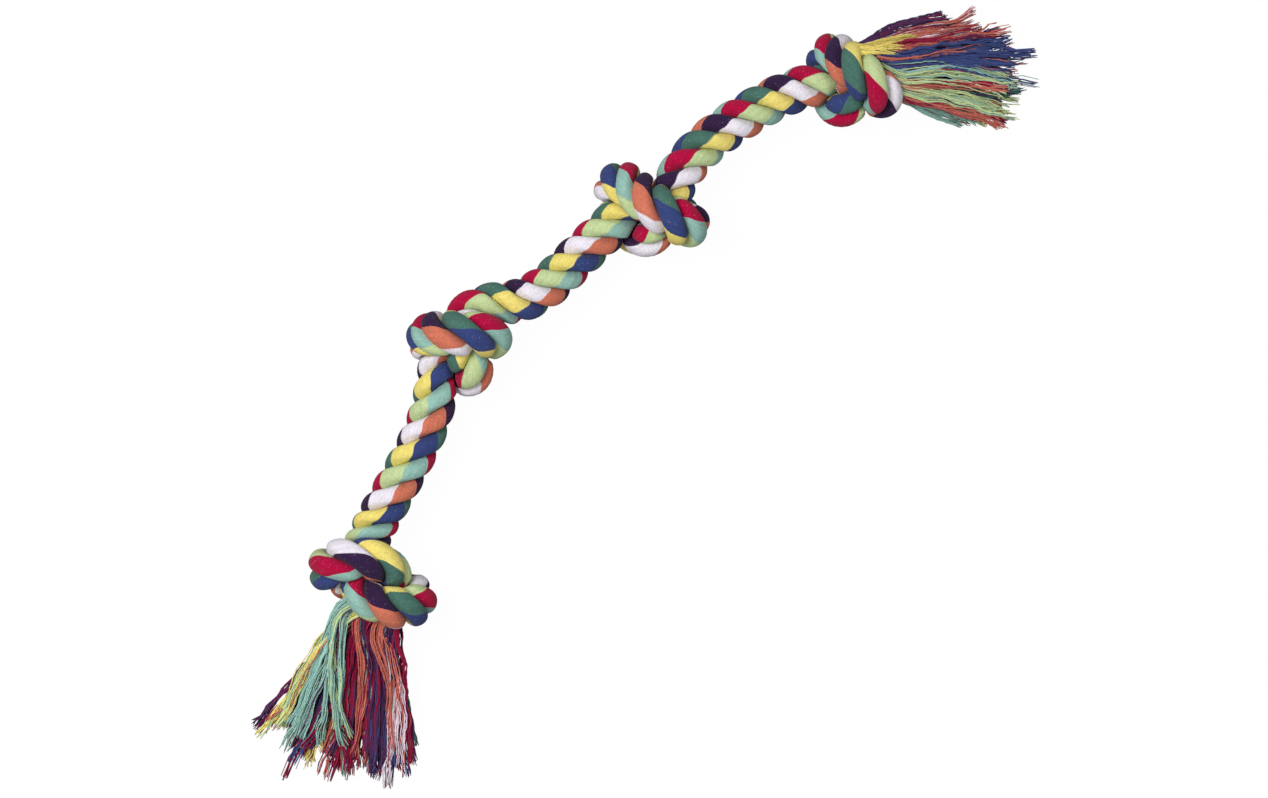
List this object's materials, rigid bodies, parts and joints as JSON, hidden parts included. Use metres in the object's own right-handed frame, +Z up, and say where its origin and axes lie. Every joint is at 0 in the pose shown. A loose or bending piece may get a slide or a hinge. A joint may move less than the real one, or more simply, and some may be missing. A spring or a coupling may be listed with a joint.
{
  "type": "rope dog toy",
  "caption": "Dog's tug toy of thick three-strand coloured cotton rope, tied in overhand knots along its length, its two ends frayed into tassels.",
  "frame": {"origin": "middle of the toy's footprint, on the floor it lies on", "axes": "+X from the first tassel to the second along the laid-out toy, +Z up"},
  "size_m": [0.543, 0.1706, 0.0627],
  "materials": {
    "white_cotton": "matte twisted cotton yarn",
    "orange_cotton": "matte twisted cotton yarn",
    "purple_cotton": "matte twisted cotton yarn",
    "yellow_cotton": "matte twisted cotton yarn",
    "navy_cotton": "matte twisted cotton yarn",
    "green_cotton": "matte twisted cotton yarn",
    "lime_cotton": "matte twisted cotton yarn",
    "mint_cotton": "matte twisted cotton yarn",
    "red_cotton": "matte twisted cotton yarn"
  },
  "bodies": {
    "knot_2": {"knot_2_white_strand": "white_cotton", "knot_2_yellow_strand": "yellow_cotton", "knot_2_lime_strand": "lime_cotton"},
    "stretch_1": {"stretch_1_white_strand": "white_cotton", "stretch_1_yellow_strand": "yellow_cotton", "stretch_1_lime_strand": "lime_cotton"},
    "knot_1": {"knot_1_white_strand": "white_cotton", "knot_1_yellow_strand": "yellow_cotton", "knot_1_lime_strand": "lime_cotton"},
    "root_1": {"root_1_white_strand": "white_cotton", "root_1_yellow_strand": "yellow_cotton", "root_1_lime_strand": "lime_cotton"},
    "tassel_1": {"tassel_1_white_bunch": "white_cotton", "tassel_1_purple_bunch": "purple_cotton", "tassel_1_orange_bunch": "orange_cotton", "tassel_1_mint_bunch": "mint_cotton", "tassel_1_lime_bunch": "lime_cotton", "tassel_1_red_bunch": "red_cotton", "tassel_1_navy_bunch": "navy_cotton", "tassel_1_green_bunch": "green_cotton", "tassel_1_yellow_bunch": "yellow_cotton"},
    "stretch_2": {"stretch_2_white_strand": "white_cotton", "stretch_2_yellow_strand": "yellow_cotton", "stretch_2_lime_strand": "lime_cotton"},
    "knot_3": {"knot_3_white_strand": "white_cotton", "knot_3_yellow_strand": "yellow_cotton", "knot_3_lime_strand": "lime_cotton"},
    "stretch_3": {"stretch_3_white_strand": "white_cotton", "stretch_3_yellow_strand": "yellow_cotton", "stretch_3_lime_strand": "lime_cotton"},
    "knot_4": {"knot_4_white_strand": "white_cotton", "knot_4_yellow_strand": "yellow_cotton", "knot_4_lime_strand": "lime_cotton"},
    "root_2": {"root_2_white_strand": "white_cotton", "root_2_yellow_strand": "yellow_cotton", "root_2_lime_strand": "lime_cotton"},
    "tassel_2": {"tassel_2_orange_bunch": "orange_cotton", "tassel_2_yellow_bunch": "yellow_cotton", "tassel_2_navy_bunch": "navy_cotton", "tassel_2_lime_bunch": "lime_cotton", "tassel_2_mint_bunch": "mint_cotton", "tassel_2_purple_bunch": "purple_cotton", "tassel_2_white_bunch": "white_cotton", "tassel_2_green_bunch": "green_cotton", "tassel_2_red_bunch": "red_cotton"}
  },
  "joints": [
    {"name": "stretch_1_upright", "type": "hinge", "parent": "knot_2", "child": "stretch_1", "pos_m": [-0.0945, 0.0445, 0.026], "axis": [-0.4412, 0.8974, 0], "range_deg": [-40, 40], "deforming": ["stretch_1_white_strand", "stretch_1_yellow_strand", "stretch_1_lime_strand"]},
    {"name": "stretch_1_sideways", "type": "hinge", "parent": "stretch_1", "child": "knot_1", "pos_m": [-0.1425, 0.0273, 0.0269], "axis": [0, 0, 1], "range_deg": [-45, 45], "deforming": ["stretch_1_white_strand", "stretch_1_yellow_strand", "stretch_1_lime_strand"]},
    {"name": "tassel_1_lift", "type": "hinge", "parent": "knot_1", "child": "root_1", "pos_m": [-0.1946, -0.0216, 0.0184], "axis": [-0.6665, 0.7455, 0], "range_deg": [-30, 30], "deforming": ["root_1_white_strand", "root_1_yellow_strand", "root_1_lime_strand"]},
    {"name": "tassel_1_swing", "type": "hinge", "parent": "root_1", "child": "tassel_1", "pos_m": [-0.1946, -0.0216, 0.0184], "axis": [0, 0, 1], "range_deg": [-40, 30], "deforming": ["root_1_white_strand", "root_1_yellow_strand", "root_1_lime_strand"]},
    {"name": "stretch_2_sideways", "type": "hinge", "parent": "knot_2", "child": "stretch_2", "pos_m": [-0.0214, 0.0564, 0.033], "axis": [0, 0, 1], "range_deg": [-45, 45], "deforming": ["stretch_2_white_strand", "stretch_2_yellow_strand", "stretch_2_lime_strand"]},
    {"name": "stretch_2_upright", "type": "hinge", "parent": "stretch_2", "child": "knot_3", "pos_m": [0.0262, 0.0478, 0.0273], "axis": [0.014, 0.9999, 0], "range_deg": [-40, 40], "deforming": ["stretch_2_white_strand", "stretch_2_yellow_strand", "stretch_2_lime_strand"]},
    {"name": "stretch_3_sideways", "type": "hinge", "parent": "knot_3", "child": "stretch_3", "pos_m": [0.1049, 0.0346, 0.0309], "axis": [0, 0, 1], "range_deg": [-45, 45], "deforming": ["stretch_3_white_strand", "stretch_3_yellow_strand", "stretch_3_lime_strand"]},
    {"name": "stretch_3_upright", "type": "hinge", "parent": "stretch_3", "child": "knot_4", "pos_m": [0.1524, 0.027, 0.026], "axis": [0.1719, 0.9851, 0], "range_deg": [-40, 40], "deforming": ["stretch_3_white_strand", "stretch_3_yellow_strand", "stretch_3_lime_strand"]},
    {"name": "tassel_2_lift", "type": "hinge", "parent": "knot_4", "child": "root_2", "pos_m": [0.2174, 0.0058, 0.0365], "axis": [0.1147, 0.9934, 0], "range_deg": [-30, 12], "deforming": ["root_2_white_strand", "root_2_yellow_strand", "root_2_lime_strand"]},
    {"name": "tassel_2_swing", "type": "hinge", "parent": "root_2", "child": "tassel_2", "pos_m": [0.2174, 0.0058, 0.0365], "axis": [0, 0, 1], "range_deg": [-12, 40], "deforming": ["root_2_white_strand", "root_2_yellow_strand", "root_2_lime_strand"]}
  ]
}
